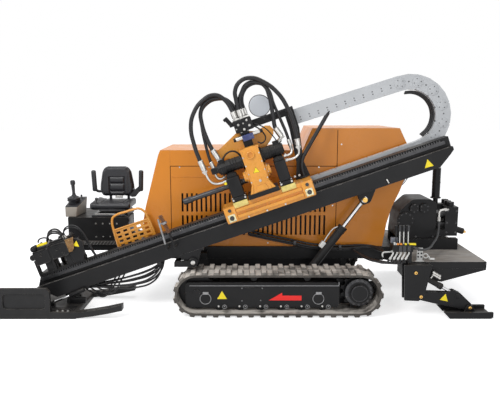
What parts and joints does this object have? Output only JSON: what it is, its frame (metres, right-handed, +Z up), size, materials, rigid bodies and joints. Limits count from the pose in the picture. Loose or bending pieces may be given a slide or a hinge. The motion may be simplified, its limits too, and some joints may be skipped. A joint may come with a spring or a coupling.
{
  "type": "horizontal drilling machine",
  "caption": "Horizontal directional drilling machine on rubber tracks with a tilting mast, sliding drive head, hood, operator seat, front anchor, outriggers and mud pump.",
  "frame": {"origin": "on the ground below the middle of the machine's plan outline", "axes": "+X from the drilling end to the rear, +Y to the far side with the seat, +Z up"},
  "size_m": [6.44, 2.34, 3.1342],
  "materials": {
    "rubber": "worn matt rubber",
    "orange_paint": "gloss orange enamel",
    "chrome": "polished rod",
    "chain_steel": "plain light grey",
    "seat_vinyl": "black vinyl",
    "console_plastic": "beige",
    "black_paint": "satin black enamel",
    "bare_steel": "machined steel",
    "hose_rubber": "black hydraulic hose"
  },
  "bodies": {
    "machine": {"chassis_frame": "black_paint", "control_console": "console_plastic", "engine_block": "bare_steel", "hood_front": "orange_paint", "hood_near_panel": "orange_paint", "hood_rear": "orange_paint", "hood_roof": "orange_paint", "mast_pivot_bracket": "black_paint", "operator_platform": "black_paint", "pump_base": "black_paint", "pump_crankcase": "black_paint", "pump_fluid_end": "black_paint", "rear_deck": "black_paint", "seat_back": "seat_vinyl", "seat_cushion": "seat_vinyl", "sprocket_far": "black_paint", "sprocket_near": "black_paint", "track_far": "rubber", "track_frame_far": "black_paint", "track_frame_near": "black_paint", "track_near": "rubber", "valve_bank": "black_paint"},
    "mast": {"mast_beam": "black_paint", "mast_saddle": "black_paint", "vise_front": "black_paint", "vise_rear": "black_paint", "chain_tray": "black_paint", "step_guard": "orange_paint", "mast_hoses": "hose_rubber"},
    "head": {"carriage": "orange_paint", "rotary_gearbox": "orange_paint", "thrust_motor_front": "black_paint", "thrust_motor_rear": "black_paint", "rotary_motor_front": "black_paint", "rotary_motor_rear": "black_paint", "chain_bracket": "black_paint", "chain_upper": "chain_steel", "hose_manifold": "black_paint", "head_hoses_front": "hose_rubber", "head_hoses_rear": "hose_rubber", "chain_guide_disc": "chain_steel"},
    "chain_bend": {"chain_loop": "chain_steel"},
    "spindle": {"drive_spindle": "bare_steel"},
    "anchor": {"front_anchor": "black_paint"},
    "lift_barrel_body": {"lift_barrel": "black_paint"},
    "lift_rod_body": {"lift_rod": "chrome"},
    "leg_near": {"outrigger_leg_near": "black_paint"},
    "leg_far": {"outrigger_leg_far": "black_paint"},
    "leg_barrel_near": {"outrigger_barrel_near": "black_paint"},
    "leg_barrel_far": {"outrigger_barrel_far": "black_paint"},
    "leg_rod_near": {"outrigger_rod_near": "chrome"},
    "leg_rod_far": {"outrigger_rod_far": "chrome"},
    "foot_near": {"outrigger_foot_near": "black_paint"},
    "foot_far": {"outrigger_foot_far": "black_paint"},
    "door_front": {"hood_far_door_front": "orange_paint"},
    "door_rear": {"hood_far_door_rear": "orange_paint"}
  },
  "joints": [
    {"name": "mast_tilt", "type": "hinge", "parent": "machine", "child": "mast", "pos_m": [-0.67, -0.7, 0.68], "axis": [0, 1, 0], "range_deg": [0, 12]},
    {"name": "head_slide", "type": "slide", "parent": "mast", "child": "head", "axis": [0.9449, 0, 0.3272], "range_m": [-1.45, 1.75], "deforming": ["chain_upper"]},
    {"name": "chain_follow", "type": "slide", "parent": "mast", "child": "chain_bend", "axis": [0.9449, 0, 0.3272], "range_m": [-0.726, 0.876]},
    {"name": "spindle_spin", "type": "hinge", "parent": "head", "child": "spindle", "pos_m": [0.21002, -0.7, 1.80594], "axis": [0.9449, 0, 0.3272], "continuous": true},
    {"name": "anchor_pivot", "type": "hinge", "parent": "mast", "child": "anchor", "pos_m": [-2.32, -0.7, 0.16], "axis": [0, 1, 0], "range_deg": [-12, 6]},
    {"name": "lift_barrel_tilt", "type": "hinge", "parent": "machine", "child": "lift_barrel_body", "pos_m": [0.78, -0.6, 0.32], "axis": [0, 1, 0], "range_deg": [0, 18.8]},
    {"name": "lift_rod_slide", "type": "slide", "parent": "lift_barrel_body", "child": "lift_rod_body", "axis": [0.5876, 0, 0.8091], "range_m": [-0.2715, 0]},
    {"name": "outrigger_leg_near", "type": "hinge", "parent": "machine", "child": "leg_near", "pos_m": [2.3, -1.01, 0.27], "axis": [0, -1, 0], "range_deg": [0, 15]},
    {"name": "outrigger_barrel_near", "type": "hinge", "parent": "machine", "child": "leg_barrel_near", "pos_m": [2.22, -1.01, 0.59], "axis": [0, -1, 0], "range_deg": [0, 9.9]},
    {"name": "outrigger_rod_near", "type": "slide", "parent": "leg_barrel_near", "child": "leg_rod_near", "axis": [0.8682, 0, -0.4961], "range_m": [-0.0665, 0]},
    {"name": "outrigger_foot_near", "type": "hinge", "parent": "leg_near", "child": "foot_near", "pos_m": [2.946, -1.01, 0.12], "axis": [0, -1, 0], "range_deg": [-15, 0]},
    {"name": "outrigger_leg_far", "type": "hinge", "parent": "machine", "child": "leg_far", "pos_m": [2.3, 1.01, 0.27], "axis": [0, -1, 0], "range_deg": [0, 15]},
    {"name": "outrigger_barrel_far", "type": "hinge", "parent": "machine", "child": "leg_barrel_far", "pos_m": [2.22, 1.01, 0.59], "axis": [0, -1, 0], "range_deg": [0, 9.9]},
    {"name": "outrigger_rod_far", "type": "slide", "parent": "leg_barrel_far", "child": "leg_rod_far", "axis": [0.8682, 0, -0.4961], "range_m": [-0.0665, 0]},
    {"name": "outrigger_foot_far", "type": "hinge", "parent": "leg_far", "child": "foot_far", "pos_m": [2.946, 1.01, 0.12], "axis": [0, -1, 0], "range_deg": [-15, 0]},
    {"name": "door_front_hinge", "type": "hinge", "parent": "machine", "child": "door_front", "pos_m": [-1.008, 0.9345, 1.35], "axis": [0, 0, 1], "range_deg": [0, 110]},
    {"name": "door_rear_hinge", "type": "hinge", "parent": "machine", "child": "door_rear", "pos_m": [1.268, 0.9345, 1.35], "axis": [0, 0, -1], "range_deg": [0, 110]}
  ],
  "couplings": [
    {"joint": "chain_follow", "follows": "head_slide", "ratio": 0.5},
    {"joint": "lift_barrel_tilt", "follows": "mast_tilt", "ratio": 1.5631},
    {"joint": "lift_rod_slide", "follows": "mast_tilt", "m_per_rad": -1.2946},
    {"joint": "outrigger_barrel_near", "follows": "outrigger_leg_near", "ratio": 0.6594},
    {"joint": "outrigger_rod_near", "follows": "outrigger_leg_near", "m_per_rad": -0.25346},
    {"joint": "outrigger_foot_near", "follows": "outrigger_leg_near", "ratio": -1},
    {"joint": "outrigger_barrel_far", "follows": "outrigger_leg_far", "ratio": 0.6594},
    {"joint": "outrigger_rod_far", "follows": "outrigger_leg_far", "m_per_rad": -0.25346},
    {"joint": "outrigger_foot_far", "follows": "outrigger_leg_far", "ratio": -1}
  ]
}
